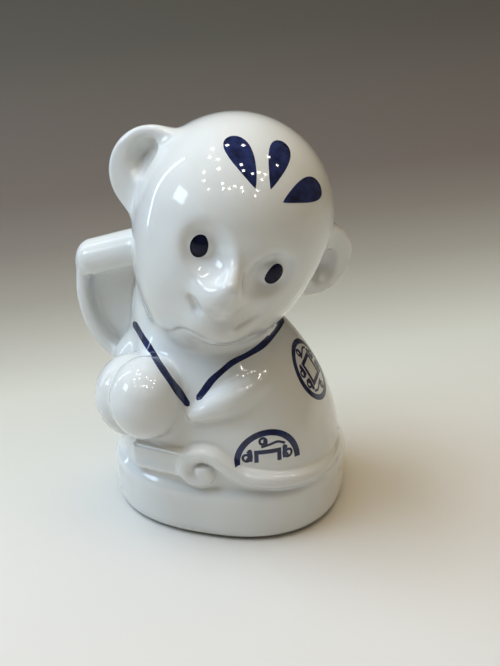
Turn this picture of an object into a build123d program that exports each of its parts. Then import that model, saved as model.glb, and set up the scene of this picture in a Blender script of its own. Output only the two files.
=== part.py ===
from build123d import *
import os
from math import cos, pi, radians, sin, sqrt

# Seated monkey in glazed porcelain. Millimetres, +Z up, front towards -Y, origin at the middle of the
# underside. Left and right are the monkey's own, so its right hand is at -X.

# Every oval section is a superellipse, a little squarer than an ellipse
oval_power = 2.35
oval_points = 20

# Cast walls and marks
wall = 3.0
mark_depth = 0.35

# Base: an oval plinth, hollow from above, standing on a foot rim
base_half_width = 29.4
base_half_depth = 26.0
base_height = 14.0
base_foot_radius = 3.0
base_shoulder_radius = 1.8
foot_rim_width = 5.5
foot_recess = 1.2
vent_radius = 4.0

# Robe: a dome that leans to its right as it narrows to the neck, with a swollen right shoulder
hem_step = 1.7
robe_roundness = 0.87
robe_lean = 5.5
neck_height = 38.0
dome_crown = 7.0
dome_power = 1.7
robe_sections = 8
shoulder_radius = 8.5
shoulder_out = 22.0
shoulder_height = 19.5

# Head: an egg on the neck, turned and leaning to the monkey's left
head_half_width = 23.2
jaw_height = 36.0
jaw_fullness = 0.55
head_turn = 20.0
head_tilt = 18.0
head_shift_x = 1.9
head_shift_y = -1.3
neck_entry = 10.6

# Face
muzzle_radius = 12.0
muzzle_drop = 13.0
muzzle_stand_out = 3.4
nose_radius = 3.6
nose_drop = 6.8
nose_stand_out = 2.7
eye_out = 9.7
right_eye_drop = 2.8
left_eye_drop = 5.2
socket_radius = 6.5
socket_depth = 1.4
eyeball_radius = 3.4
eyeball_bulge = 1.7
pupil_radius = 2.1

# Ears: round cups, the right one standing higher
ear_radius = 10.8
ear_back = 4.8
ear_rim = 2.4
ear_cup = 2.8
ear_sink = 2.2
ear_set_back = 1.5
ear_splay = 22.0
right_ear_rise = 3.2
left_ear_rise = -5.6

# Raised right arm: a bent tube with a closed web inside the bend
arm_radius = 4.2
arm_set_back = 2.0
arm_root_in = 14.0
arm_reach = 37.0
arm_root_height = 16.5
arm_lower_height = 25.5
elbow_below_head = 17.6
hand_below_head = 11.6
lower_bend = 10.0
elbow_bend = 9.0
web_thickness = 4.0

# Left arm: a sleeve across the belly, given by x, height and sink on the robe's front
left_arm_radius = 3.2
left_arm_places = [(-2.4, 18.4, 0.2), (3.9, 23.0, 0.5), (12.0, 26.6, 2.4)]

# Peach: two lobes, each set into the robe
peach_places = [(-14.0, 22.8), (-19.9, 18.8)]
peach_radii = [9.6, 10.2]
peach_stand_out = 2.2

# Leaf under the peach
leaf_length = 19.0
leaf_blunt_radius = 3.6
leaf_tip_radius = 2.2
leaf_stand_out = 3.4
leaf_root = 6.0
leaf_round = 1.4
leaf_place = (-13.0, 5.4)
leaf_turn = 9.0

# Tail: round the left side along the base, then up into a curl at the front
tail_radius = 1.75
tail_stand_out = -0.3
tail_root = 5.0
tail_side_run = 6.0
tail_back_height = 0.8
tail_side_height = 1.2
tail_bend_height = 6.6
tail_bend = 3.0
curl_outer_turn = 4.1
curl_inner_turn = 2.3
curl_height = 5.9
curl_run = 6.8

# Painted marks
petal_length = 10.7
petal_tip_radius = 0.5
petal_end_radius = 2.65
petal_start = 5.9
petal_fan = 32.0
petal_lean = 6.0
petal_rise = 54.0
petal_shift = 1.3
petal_drop = 12.6
collar_width = 1.5
right_collar = [(-20.0, 31.5), (-12.6, 27.0), (-4.4, 20.6)]
left_collar = [(13.4, 35.5), (9.4, 32.2), (4.2, 29.4), (0.3, 26.6), (-3.0, 21.6)]
coin_radius = 8.5
coin_ring = 1.2
coin_hole = 4.6
coin_frame = 1.0
shoulder_coin_place = (-3.0, 24.3)
shoulder_coin_lean = 38.0
hem_coin_place = (14.5, 8.0)
hem_coin_turn = 27.0

hem_half_width = base_half_width - hem_step
dome_height = neck_height + dome_crown
head_centre = Vector(head_shift_x, head_shift_y, base_height + neck_height + jaw_height - neck_entry)
head_place = Location(head_centre) * Rotation(0, 0, head_turn) * Rotation(0, head_tilt, 0)


def oval_outline(half_width, half_depth):
    """Closed superellipse, as one smooth curve."""
    points = []
    for step in range(oval_points):
        angle = 2 * pi * step / oval_points
        across = abs(cos(angle) / half_width) ** oval_power
        along = abs(sin(angle) / half_depth) ** oval_power
        reach = (across + along) ** (-1 / oval_power)
        points.append((reach * cos(angle), reach * sin(angle)))
    return Spline(points, periodic=True)


def placed(place, plane):
    """A plane that is given in the frame of a place."""
    return Plane(place * plane.location)


def robe_half_width(height):
    """Half the robe's width at a height above the base."""
    return hem_half_width * (1 - (height / dome_height) ** dome_power) ** (1 / dome_power)


def robe_half_depth(height):
    """Half the robe's depth: an oval at the hem that turns round towards the neck."""
    return robe_half_width(height) * (robe_roundness + (1 - robe_roundness) * height / neck_height)


def robe_shift(height):
    """How far the robe's middle has moved to its right at a height above the base."""
    return -robe_lean * (height / neck_height) ** 2


def robe_front(x, height):
    """The point of the robe's front at x and at a height above the base."""
    share = 1 - abs((x - robe_shift(height)) / robe_half_width(height)) ** oval_power
    return Vector(x, -robe_half_depth(height) * share ** (1 / oval_power), base_height + height)


def robe_form(inset):
    """The robe as a full solid, drawn in by inset all round."""
    with BuildPart() as form:
        for step in range(robe_sections):
            height = neck_height * step / (robe_sections - 1)
            with BuildSketch(Plane((robe_shift(height), 0, base_height + height))):
                with BuildLine():
                    oval_outline(robe_half_width(height) - inset, robe_half_depth(height) - inset)
                make_face()
        loft()
        with Locations((-shoulder_out, 0, base_height + shoulder_height)):
            Sphere(shoulder_radius - inset)
    return form.part


def head_form(inset):
    """The bare egg of the head as a full solid, drawn in by inset all round."""
    half_width = head_half_width - inset
    jaw = jaw_height - inset
    with BuildPart() as form:
        with BuildSketch(placed(head_place, Plane.XZ)):
            with BuildLine():
                Bezier((0, -jaw), (jaw_fullness * half_width, -jaw), (half_width, -jaw_fullness * jaw), (half_width, 0))
                CenterArc((0, 0), half_width, 0, 90)
                Line((0, half_width), (0, -jaw))
            make_face()
        revolve(axis=Axis(head_centre, Plane(head_place).z_dir))
    return form.part


def on_face(x, drop):
    """The point of the egg's front at x and at a drop below its middle, in the head's own frame."""
    share = 1 - (x / head_half_width) ** 2 - (drop / jaw_height) ** 2
    return Vector(x, -head_half_width * sqrt(share), -drop)


robe_solid = robe_form(0)
head_solid = head_form(0)

# Skins: the outermost layer of robe and head, which the painted marks are cut from
with BuildPart() as robe_skin:
    add(robe_solid)
    add(robe_form(mark_depth), mode=Mode.SUBTRACT)
with BuildPart() as head_skin:
    add(head_solid)
    add(head_form(mark_depth), mode=Mode.SUBTRACT)

# Plinth: the base's outer form as a full solid
with BuildPart() as plinth:
    with BuildSketch():
        with BuildLine():
            oval_outline(base_half_width, base_half_depth)
        make_face()
    extrude(amount=base_height)
    fillet(plinth.edges().group_by(Axis.Z)[0], base_foot_radius)
    fillet(plinth.edges().group_by(Axis.Z)[-1], base_shoulder_radius)

# Base: the plinth hollowed from above, with a recess inside the foot rim and a vent hole for the firing
with BuildPart() as base:
    add(plinth.part)
    with BuildSketch(Plane.XY.offset(foot_recess + wall)):
        with BuildLine():
            oval_outline(hem_half_width - wall, hem_half_width * robe_roundness - wall)
        make_face()
    extrude(amount=base_height, mode=Mode.SUBTRACT)
    with BuildSketch():
        with BuildLine():
            oval_outline(base_half_width - foot_rim_width, base_half_depth - foot_rim_width)
        make_face()
    extrude(amount=foot_recess, mode=Mode.SUBTRACT)
    with Locations((0, 0, foot_recess + wall)):
        Hole(vent_radius)

# Pupils: thin caps let into the eyeballs
eye_places = []
pupils = []
for side, drop, name in [(-1, right_eye_drop, "right_pupil"), (1, left_eye_drop, "left_pupil")]:
    surface = on_face(side * eye_out, drop)
    outward = surface.normalized()
    eyeball = surface - outward * (socket_depth + eyeball_radius - eyeball_bulge)
    eye_places.append((surface, outward, eyeball))
    with BuildPart(placed(head_place, Plane(eyeball, z_dir=outward))) as pupil:
        Sphere(eyeball_radius)
        Sphere(eyeball_radius - mark_depth, mode=Mode.SUBTRACT)
        Cylinder(
            pupil_radius,
            2 * eyeball_radius,
            align=(Align.CENTER, Align.CENTER, Align.MIN),
            mode=Mode.INTERSECT,
        )
    pupil.part.label = name
    pupils.append(pupil.part)

# Forehead petals: three drops fanned over the brow
petal_dir = Vector(0, -cos(radians(petal_rise)), sin(radians(petal_rise)))
petal_plane = placed(head_place, Plane((0, 0, 0), x_dir=(1, 0, 0), z_dir=petal_dir))
with BuildPart() as forehead_petals:
    with BuildSketch(petal_plane):
        for turn in [petal_lean - petal_fan, petal_lean, petal_lean + petal_fan]:
            with BuildSketch(mode=Mode.PRIVATE) as petal:
                with Locations((0, petal_start)):
                    Circle(petal_tip_radius)
                with Locations((0, petal_start + petal_length)):
                    Circle(petal_end_radius)
                make_hull()
            with Locations(Location((petal_shift, -petal_drop), -turn)):
                add(petal.sketch)
    extrude(amount=2 * head_half_width)
    add(head_skin.part, mode=Mode.INTERSECT)

# Head: egg, muzzle and nose, with eyeballs in their sockets, hollow and open to the neck
muzzle_centre = on_face(0, muzzle_drop) + Vector(0, muzzle_radius - muzzle_stand_out, 0)
nose_centre = on_face(0, nose_drop) + Vector(0, nose_radius - nose_stand_out, 0)
with BuildPart(Plane(head_place)) as head:
    add(head_solid.moved(head_place.inverse()))
    with Locations(muzzle_centre):
        Sphere(muzzle_radius)
    with Locations(nose_centre):
        Sphere(nose_radius)
    for surface, outward, eyeball in eye_places:
        with Locations(surface + outward * (socket_radius - socket_depth)):
            Sphere(socket_radius, mode=Mode.SUBTRACT)
        with Locations(eyeball):
            Sphere(eyeball_radius)
    add(head_form(wall).moved(head_place.inverse()), mode=Mode.SUBTRACT)
    add(robe_solid.moved(head_place.inverse()), mode=Mode.SUBTRACT)
    add(forehead_petals.part.moved(head_place.inverse()), mode=Mode.SUBTRACT)
    for pupil_part in pupils:
        add(pupil_part.moved(head_place.inverse()), mode=Mode.SUBTRACT)

# Raised arm: tube from the shoulder round the elbow to the back of the head, web behind it
arm_route = [
    (-arm_root_in, base_height + arm_root_height),
    (-arm_reach, base_height + arm_lower_height),
    (-arm_reach, head_centre.Z - elbow_below_head),
    (-arm_root_in, head_centre.Z - hand_below_head),
]
arm_plane = Plane.XZ.offset(-arm_set_back)
with BuildPart() as raised_arm:
    with BuildLine(arm_plane) as arm_line:
        FilletPolyline(*arm_route, radius=[lower_bend, elbow_bend])
    with BuildSketch(Plane(arm_line.line @ 0, z_dir=arm_line.line % 0)):
        Circle(arm_radius)
    sweep()
    with BuildSketch(arm_plane):
        with BuildLine():
            FilletPolyline(*arm_route, radius=[lower_bend, elbow_bend])
            Polyline(arm_route[-1], (0, arm_route[-1][1]), (0, arm_route[0][1]), arm_route[0])
        make_face()
    extrude(amount=-web_thickness)
    add(robe_solid, mode=Mode.SUBTRACT)
    add(head_solid, mode=Mode.SUBTRACT)

# Ears: saucer-shaped cups, cut to the side of the head
ears = []
for side, rise, name in [(-1, right_ear_rise, "right_ear"), (1, left_ear_rise, "left_ear")]:
    ear_centre = Location((side * (head_half_width - ear_sink), ear_set_back, rise))
    ear_place = head_place * ear_centre * Rotation(0, 0, side * ear_splay)
    with BuildPart() as ear:
        with BuildSketch(Plane(ear_place)):
            with BuildLine():
                EllipticalCenterArc((0, 0), ear_radius, ear_back, start_angle=0, arc_size=90)
                Line((0, ear_back), (0, ear_cup))
                EllipticalCenterArc((0, 0), ear_radius - ear_rim, ear_cup, start_angle=0, arc_size=90)
                ThreePointArc((ear_radius - ear_rim, 0), (ear_radius - ear_rim / 2, -ear_rim / 2), (ear_radius, 0))
            make_face()
        revolve(axis=Axis(ear_place.position, Plane(ear_place).y_dir))
        add(head_solid, mode=Mode.SUBTRACT)
        add(raised_arm.part, mode=Mode.SUBTRACT)
    ear.part.label = name
    ears.append(ear.part)

# Peach: two lobes that meet in a cleft
with BuildPart() as peach:
    for (x, height), radius in zip(peach_places, peach_radii):
        with Locations(robe_front(x, height) - Vector(0, peach_stand_out, 0)):
            Sphere(radius)
    add(robe_solid, mode=Mode.SUBTRACT)
    add(raised_arm.part, mode=Mode.SUBTRACT)

# Left arm: sleeve along the robe's front with a round hand end
left_arm_points = [robe_front(x, height) + Vector(0, sink, 0) for x, height, sink in left_arm_places]
with BuildPart() as left_arm:
    with BuildLine() as left_arm_line:
        ThreePointArc(*left_arm_points)
    with BuildSketch(Plane(left_arm_line.line @ 0, z_dir=left_arm_line.line % 0)):
        Circle(left_arm_radius)
    sweep()
    for end in [0, 1]:
        with Locations(left_arm_line.line @ end):
            Sphere(left_arm_radius)
    add(robe_solid, mode=Mode.SUBTRACT)
    add(peach.part, mode=Mode.SUBTRACT)

# Tail: a band half round the hem that ends in a curl of two half turns
tail_x = hem_half_width + tail_stand_out
tail_y = hem_half_width * robe_roundness + tail_stand_out
tail_corner = tail_y - tail_side_run / 2
tail_bend_x = tail_x - tail_corner - tail_bend
curl_x = tail_bend_x - curl_run
curl_z = base_height + curl_height
curl_top = curl_z + curl_outer_turn
curl_bottom = curl_z - curl_outer_turn
tail_route = [
    (0, tail_y - tail_root, base_height + tail_back_height),
    (tail_x, tail_y, base_height + tail_back_height),
    (tail_x, -tail_y, base_height + tail_side_height),
    (tail_bend_x, -tail_y, base_height + tail_bend_height),
    (curl_x + tail_bend, -tail_y, curl_top),
    (curl_x, -tail_y, curl_top),
]
with BuildPart() as tail:
    with BuildLine() as tail_line:
        FilletPolyline(*tail_route, radius=[tail_corner, tail_corner, tail_bend, tail_bend])
        with BuildLine(Plane.XZ.offset(tail_y)):
            CenterArc((curl_x, curl_z), curl_outer_turn, 90, 180)
            CenterArc((curl_x, curl_bottom + curl_inner_turn), curl_inner_turn, -90, 180)
    with BuildSketch(Plane(tail_line.line @ 0, z_dir=tail_line.line % 0)):
        Circle(tail_radius)
    sweep()
    with Locations((curl_x, -tail_y, curl_bottom + 2 * curl_inner_turn)):
        Sphere(tail_radius)
    add([robe_solid, plinth.part], mode=Mode.SUBTRACT, clean=False)

# Leaf: a blunt blade under the peach with a rounded rim
leaf_point = robe_front(*leaf_place)
leaf_side = robe_front(leaf_place[0] + 1, leaf_place[1]) - robe_front(leaf_place[0] - 1, leaf_place[1])
leaf_plane = Plane(leaf_point, x_dir=leaf_side, z_dir=leaf_side.cross(Vector(0, 0, 1)))
with BuildPart() as peach_leaf:
    with BuildSketch(leaf_plane.rotated((0, 0, leaf_turn)).offset(-leaf_root)):
        with Locations((leaf_blunt_radius - leaf_length / 2, 0)):
            Circle(leaf_blunt_radius)
        with Locations((leaf_length / 2 - leaf_tip_radius, 0)):
            Circle(leaf_tip_radius)
        make_hull()
    extrude(amount=leaf_root + leaf_stand_out)
    fillet(peach_leaf.edges().group_by(Axis(leaf_point, leaf_plane.z_dir))[-1], leaf_round)
    add([robe_solid, plinth.part, peach.part, tail.part], mode=Mode.SUBTRACT, clean=False)

# Collar: two brushed lines that nearly meet on the chest
collars = []
for name, places in [("right_collar_line", right_collar), ("left_collar_line", left_collar)]:
    with BuildPart() as collar:
        with BuildSketch(Plane.XZ):
            with BuildLine():
                Spline([(x, base_height + height) for x, height in places])
            trace(line_width=collar_width)
        extrude(amount=2 * base_half_depth)
        add(robe_skin.part, mode=Mode.INTERSECT)
    collar.part.label = name
    collars.append(collar.part)


def coin_sketch():
    """A round coin mark: a ring, and a square frame in its middle."""
    with BuildSketch(mode=Mode.PRIVATE) as coin:
        Circle(coin_radius)
        Circle(coin_radius - coin_ring, mode=Mode.SUBTRACT)
        Rectangle(coin_hole + 2 * coin_frame, coin_hole + 2 * coin_frame)
        Rectangle(coin_hole, coin_hole, mode=Mode.SUBTRACT)
    return coin.sketch


# Shoulder coin: a whole coin on the left shoulder
coin_y, coin_height = shoulder_coin_place
coin_share = 1 - abs(coin_y / robe_half_depth(coin_height)) ** oval_power
coin_x = robe_shift(coin_height) + robe_half_width(coin_height) * coin_share ** (1 / oval_power)
lean = radians(shoulder_coin_lean)
shoulder_plane = Plane(
    (coin_x, coin_y, base_height + coin_height),
    x_dir=(0, 1, 0),
    z_dir=(cos(lean), 0, sin(lean)),
)
with BuildPart() as shoulder_coin:
    with BuildSketch(shoulder_plane):
        add(coin_sketch())
    extrude(amount=coin_radius, both=True)
    add(robe_skin.part, mode=Mode.INTERSECT)

# Hem coin: the upper half of a coin, cut off along the tail
hem_turn = radians(hem_coin_turn)
hem_plane = Plane(
    robe_front(*hem_coin_place),
    x_dir=(cos(hem_turn), sin(hem_turn), 0),
    z_dir=(sin(hem_turn), -cos(hem_turn), 0),
)
with BuildPart() as hem_coin:
    with BuildSketch(hem_plane):
        add(coin_sketch())
        with Locations((0, -coin_radius)):
            Rectangle(2 * coin_radius, 2 * coin_radius, mode=Mode.SUBTRACT)
    extrude(amount=coin_radius, both=True)
    add(robe_skin.part, mode=Mode.INTERSECT)

# Robe: hollow shell with pockets for the marks
with BuildPart() as robe:
    add(robe_solid)
    add(robe_form(wall), mode=Mode.SUBTRACT, clean=False)
    add([*collars, shoulder_coin.part, hem_coin.part], mode=Mode.SUBTRACT, clean=False)

base.part.label = "base"
robe.part.label = "robe"
head.part.label = "head"
raised_arm.part.label = "raised_arm"
left_arm.part.label = "left_arm"
peach.part.label = "peach"
peach_leaf.part.label = "peach_leaf"
tail.part.label = "tail"
forehead_petals.part.label = "forehead_petals"
shoulder_coin.part.label = "shoulder_coin"
hem_coin.part.label = "hem_coin"

pieces = [base.part, robe.part, head.part, *ears, raised_arm.part, left_arm.part, peach.part, peach_leaf.part]
pieces += [tail.part, *pupils, forehead_petals.part, *collars, shoulder_coin.part, hem_coin.part]
os.makedirs("parts", exist_ok=True)
for piece in pieces:
    export_step(piece, f"parts/{piece.label}.step")
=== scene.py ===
from math import cos, pi, radians, sin

import bpy
import numpy as np
import openvdb
from mathutils import Matrix, Vector


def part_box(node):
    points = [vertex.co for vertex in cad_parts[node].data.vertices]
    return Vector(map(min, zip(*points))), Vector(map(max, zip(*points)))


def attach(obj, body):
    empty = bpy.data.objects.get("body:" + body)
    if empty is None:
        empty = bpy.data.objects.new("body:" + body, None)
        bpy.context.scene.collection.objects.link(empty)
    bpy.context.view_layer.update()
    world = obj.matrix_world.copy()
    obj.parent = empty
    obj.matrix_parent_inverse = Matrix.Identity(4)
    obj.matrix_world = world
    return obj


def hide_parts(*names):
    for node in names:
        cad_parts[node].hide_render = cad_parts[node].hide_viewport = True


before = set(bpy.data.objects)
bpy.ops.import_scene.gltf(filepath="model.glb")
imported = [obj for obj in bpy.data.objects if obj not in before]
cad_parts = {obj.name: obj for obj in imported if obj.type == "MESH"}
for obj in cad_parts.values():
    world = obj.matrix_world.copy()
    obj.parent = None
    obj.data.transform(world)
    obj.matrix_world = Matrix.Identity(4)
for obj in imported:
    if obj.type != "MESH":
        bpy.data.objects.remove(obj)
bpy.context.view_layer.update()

# Sizes are in millimetres, in the same frame as the solids, and become metres when a mesh is made
MM = 0.001
# Step of the grid that the glazed form is worked out on, and the room left round the figure
VOXEL, MARGIN = 0.45, 3.0
# Wall of a glazed skin, and how far from its surface a form's field is kept
SKIN, BAND = 0.8, 5.0
# Small values that keep a field defined at a form's middle
TINY, LEAST_REACH = 1e-6, 1e-3

node_boxes = np.array([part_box(name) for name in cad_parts]) / MM
corner = np.floor((node_boxes[:, 0].min(axis=0) - MARGIN) / VOXEL).astype(int)
far_corner = np.ceil((node_boxes[:, 1].max(axis=0) + MARGIN) / VOXEL).astype(int)
grid_shape = far_corner - corner + 1


def grid_axis(index):
    """Places of the grid's points along one axis."""
    shape = [1, 1, 1]
    shape[index] = -1
    steps = corner[index] + np.arange(grid_shape[index])
    return (steps * VOXEL).astype(np.float32).reshape(shape)


X, Y, Z = grid_axis(0), grid_axis(1), grid_axis(2)


# Fields: how far each point of the grid lies outside a form, negative inside it
def softened(values, passes):
    """A field with its edges and corners rounded, as glaze rounds them."""
    for _ in range(passes):
        for axis in range(3):
            ends = [(1, 1) if index == axis else (0, 0) for index in range(3)]
            padded = np.pad(values, ends, mode="edge")
            before = np.take(padded, range(grid_shape[axis]), axis=axis)
            after = np.take(padded, range(2, grid_shape[axis] + 2), axis=axis)
            values = values / 2 + (before + after) / 4
    return values


def join(first, second, blend):
    """Union of two fields, with glaze run into the corner between them."""
    near = np.maximum(blend - np.abs(first - second), 0) / blend
    return np.minimum(first, second) - near**3 * blend / 6


def cut(first, second, blend):
    """First field less the second, with a softened edge."""
    return -join(-first, second, blend)


def meet(first, second, blend):
    """What two fields have in common, with a softened edge."""
    return -join(-first, -second, blend)


def ball(place, centre, radius):
    """Field of a ball in the coordinates given by place."""
    x, y, z = place
    return np.sqrt((x - centre[0]) ** 2 + (y - centre[1]) ** 2 + (z - centre[2]) ** 2) - radius


def egg(place, centre, radii):
    """Field of an ellipsoid in the coordinates given by place."""
    x = (place[0] - centre[0]) / radii[0]
    y = (place[1] - centre[1]) / radii[1]
    z = (place[2] - centre[2]) / radii[2]
    reach = np.sqrt(x**2 + y**2 + z**2)
    slope = np.sqrt((x / radii[0]) ** 2 + (y / radii[1]) ** 2 + (z / radii[2]) ** 2)
    return reach * (reach - 1) / np.maximum(slope, TINY)


def rod(place, start, end, start_radius, end_radius):
    """Field of a tapered rod with round ends in the coordinates given by place."""
    start, end = np.array(start), np.array(end)
    run = end - start
    x, y, z = place[0] - start[0], place[1] - start[1], place[2] - start[2]
    share = np.clip((x * run[0] + y * run[1] + z * run[2]) / (run @ run), 0, 1)
    gap = (x - share * run[0]) ** 2 + (y - share * run[1]) ** 2 + (z - share * run[2]) ** 2
    return np.sqrt(gap) - start_radius - (end_radius - start_radius) * share


def plate(side, level, radius):
    """Field of a plate with rounded edges, from the fields of its outline and of its two faces."""
    side, level = side + radius, level + radius
    reach = np.sqrt(np.maximum(side, 0) ** 2 + np.maximum(level, 0) ** 2)
    return reach - radius + np.minimum(np.maximum(side, level), 0)


def smooth_path(places, count):
    """A curve through places, as count points."""
    places = np.array(places, float)
    steps = np.concatenate([[0], np.cumsum(np.linalg.norm(np.diff(places, axis=0), axis=1))])
    slopes = np.gradient(places, steps, axis=0)
    spots = np.linspace(0, steps[-1], count)
    index = np.clip(np.searchsorted(steps, spots, side="right") - 1, 0, len(places) - 2)
    span = (steps[index + 1] - steps[index])[:, None]
    share = (spots - steps[index])[:, None] / span
    start, end = places[index], places[index + 1]
    rise = share * share * (3 - 2 * share)
    curve = start + (end - start) * rise
    curve += span * slopes[index] * share * (1 - share) ** 2
    curve -= span * slopes[index + 1] * share**2 * (1 - share)
    return curve


def chain(stations, count, blend):
    """Field of a smooth bent rod, from places with a radius at each, worked out only near the rod."""
    path = smooth_path([(*place, radius) for place, radius in stations], count)
    reach = path[:, 3].max() + BAND
    low = np.floor((path[:, :3].min(axis=0) - reach) / VOXEL).astype(int) - corner
    high = np.ceil((path[:, :3].max(axis=0) + reach) / VOXEL).astype(int) - corner + 1
    low, high = np.clip(low, 0, grid_shape), np.clip(high, 0, grid_shape)
    window = tuple(slice(start, end) for start, end in zip(low, high))
    near = (X[window[0]], Y[:, window[1]], Z[:, :, window[2]])
    bent = None
    for (*start, start_radius), (*end, end_radius) in zip(path[:-1], path[1:]):
        stretch = rod(near, start, end, start_radius, end_radius)
        bent = stretch if bent is None else join(bent, stretch, blend)
    field = np.full(grid_shape, 2 * BAND, dtype=np.float32)
    field[window] = np.minimum(bent, 2 * BAND)
    return field


def press(field, place, start, end, width, depth):
    """A soft groove between two points of the face, given by x and z, pressed into the front of a field."""
    run = np.subtract(end, start)
    x, z = place[0] - start[0], place[2] - start[1]
    share = np.clip((x * run[0] + z * run[1]) / (run @ run), 0, 1)
    gap = (x - share * run[0]) ** 2 + (z - share * run[1]) ** 2
    return field + np.where(place[1] < 0, depth * np.exp(-gap / width**2), 0)


# Base: an oval plinth; the sections of base and robe are superellipses
OVAL_POWER = 2.35
BASE_HALF_WIDTH, BASE_HALF_DEPTH, BASE_HEIGHT = 29.4, 26.0, 14.0
FOOT_RADIUS, BASE_SHOULDER_RADIUS = 3.0, 2.6
FOOT_RIM, FOOT_RECESS, FOOT_BLEND = 5.5, 1.2, 0.6
VENT_RADIUS, VENT_DEPTH = 4.0, 7.0


def oval_field(x, y, half_width, half_depth):
    """How far a point lies outside an oval, measured towards the oval's middle."""
    oval = (np.abs(x) / half_width) ** OVAL_POWER + (np.abs(y) / half_depth) ** OVAL_POWER
    reach = np.maximum(oval ** (1 / OVAL_POWER), LEAST_REACH)
    return np.sqrt(x**2 + y**2 + TINY) * (1 - 1 / reach)


def base_field():
    """Oval plinth with rounded edges, a recess inside the foot rim and a vent hole."""
    side = oval_field(X, Y, BASE_HALF_WIDTH, BASE_HALF_DEPTH)
    level = np.abs(Z - BASE_HEIGHT / 2) - BASE_HEIGHT / 2
    radius = np.where(Z < BASE_HEIGHT / 2, FOOT_RADIUS, BASE_SHOULDER_RADIUS)
    plinth = plate(side, level, radius)
    recess = oval_field(X, Y, BASE_HALF_WIDTH - FOOT_RIM, BASE_HALF_DEPTH - FOOT_RIM)
    plinth = cut(plinth, np.maximum(recess, Z - FOOT_RECESS), FOOT_BLEND)
    vent = np.sqrt(X**2 + Y**2) - VENT_RADIUS
    return cut(plinth, np.maximum(vent, Z - VENT_DEPTH), FOOT_BLEND)


# Robe: a dome on the base, sunk a little into it
HEM_HALF_WIDTH, ROBE_ROUNDNESS, ROBE_LEAN, ROBE_SINK = 27.7, 0.87, 5.5, 2.0
NECK_HEIGHT, DOME_HEIGHT, DOME_POWER = 38.0, 45.0, 1.7
SHOULDER_BALL, SHOULDER_RADIUS, SHOULDER_BLEND = (-22.0, 0.0, 33.5), 8.5, 3.0
NECK_EGG, NECK_RADII, NECK_BLEND = (-16.5, 3.0, 46.0), (9.6, 9.0, 18.0), 7.0


def robe_half_width(height):
    """Half the robe's width at a height above the base."""
    return HEM_HALF_WIDTH * (1 - (height / DOME_HEIGHT) ** DOME_POWER) ** (1 / DOME_POWER)


def robe_shift(height):
    """How far the robe has leaned along X at a height above the base."""
    return -ROBE_LEAN * (height / NECK_HEIGHT) ** 2


def robe_field():
    """Dome that leans to one side as it narrows to the neck, with a swollen shoulder and neck."""
    height = np.clip(Z - BASE_HEIGHT, 0, NECK_HEIGHT)
    share = height / DOME_HEIGHT
    half_width = robe_half_width(height)
    half_depth = half_width * (ROBE_ROUNDNESS + (1 - ROBE_ROUNDNESS) * height / NECK_HEIGHT)
    slope = HEM_HALF_WIDTH / DOME_HEIGHT * share ** (DOME_POWER - 1)
    slope = slope * (1 - share**DOME_POWER) ** (1 / DOME_POWER - 1)
    side = oval_field(X - robe_shift(height), Y, half_width, half_depth) / np.sqrt(1 + slope**2)
    dome = np.maximum(side, BASE_HEIGHT - ROBE_SINK - Z)
    dome = np.maximum(dome, Z - BASE_HEIGHT - NECK_HEIGHT)
    dome = join(dome, ball((X, Y, Z), SHOULDER_BALL, SHOULDER_RADIUS), SHOULDER_BLEND)
    return join(dome, egg((X, Y, Z), NECK_EGG, NECK_RADII), NECK_BLEND)


# Head: turned and leaning, with its own frame in which the face looks along -Y
HEAD_CENTRE = np.array((1.9, -1.3, 77.4))
HEAD_TURN, HEAD_TILT = radians(20), radians(18)
HEAD_RADIUS, JAW = 23.2, 36.0
MUZZLE, MUZZLE_RADII, MUZZLE_BLEND = (-1.6, -17.4, -11.6), (6.6, 9.2, 6.8), 4.0
CHIN, CHIN_RADII, CHIN_BLEND = (0.6, -13.6, -20.5), (8.6, 8.8, 6.6), 5.0
NOSE_BRIDGE, NOSE_BRIDGE_RADIUS = (-1.4, -21.6, -2.0), 1.4
NOSE_TIP, NOSE_TIP_RADIUS, NOSE_BLEND = (-1.0, -24.8, -8.2), 2.8, 3.2
# Eyes, right and left: x and the drop below the head's middle
EYES = [(-10.1, 3.5), (9.7, 5.8)]
SOCKET_RADIUS, SOCKET_DEPTH, SOCKET_IN, SOCKET_UP, SOCKET_BLEND = 8.4, 3.1, 1.6, 1.2, 2.2
EYEBALL_RADIUS, EYEBALL_BULGE, EYEBALL_BLEND = 3.7, 1.9, 0.6
# Grooves at the mouth's corners and over the left eye: start and end by x and z, width and depth
CREASES = [
    ((-7.4, -15.4), (-5.4, -17.8), 0.7, 1.1),
    ((4.2, -18.8), (8.8, -16.0), 0.6, 0.7),
    ((4.6, -3.4), (7.6, -0.9), 0.7, 0.25),
    ((7.6, -0.9), (12.0, -0.9), 0.7, 0.25),
]
head_axes = np.array(Matrix.Rotation(HEAD_TURN, 3, "Z") @ Matrix.Rotation(HEAD_TILT, 3, "Y"))


def head_point(point):
    """A point of the head's own frame, in the figure's frame."""
    return HEAD_CENTRE + head_axes @ np.array(point)


def in_head(places):
    """Coordinates of the figure's frame, in the head's own frame."""
    gap = [axis - centre for axis, centre in zip(places, HEAD_CENTRE)]
    return [sum(gap[i] * head_axes[i, j] for i in range(3)) for j in range(3)]


def on_face(x, drop):
    """The point of the egg's front at x and at a drop below its middle, in the head's frame."""
    share = 1 - (x / HEAD_RADIUS) ** 2 - (drop / JAW) ** 2
    return np.array((x, -HEAD_RADIUS * share**0.5, -drop))


def off_face(x, drop):
    """Unit direction from the head's middle through a point of the face, in the head's frame."""
    surface = on_face(x, drop)
    return surface / np.linalg.norm(surface)


def eyeball_centre(x, drop):
    """Middle of the eyeball behind a point of the face, in the head's frame."""
    return on_face(x, drop) - off_face(x, drop) * (SOCKET_DEPTH + EYEBALL_RADIUS - EYEBALL_BULGE)


head_grid = in_head((X, Y, Z))


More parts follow.
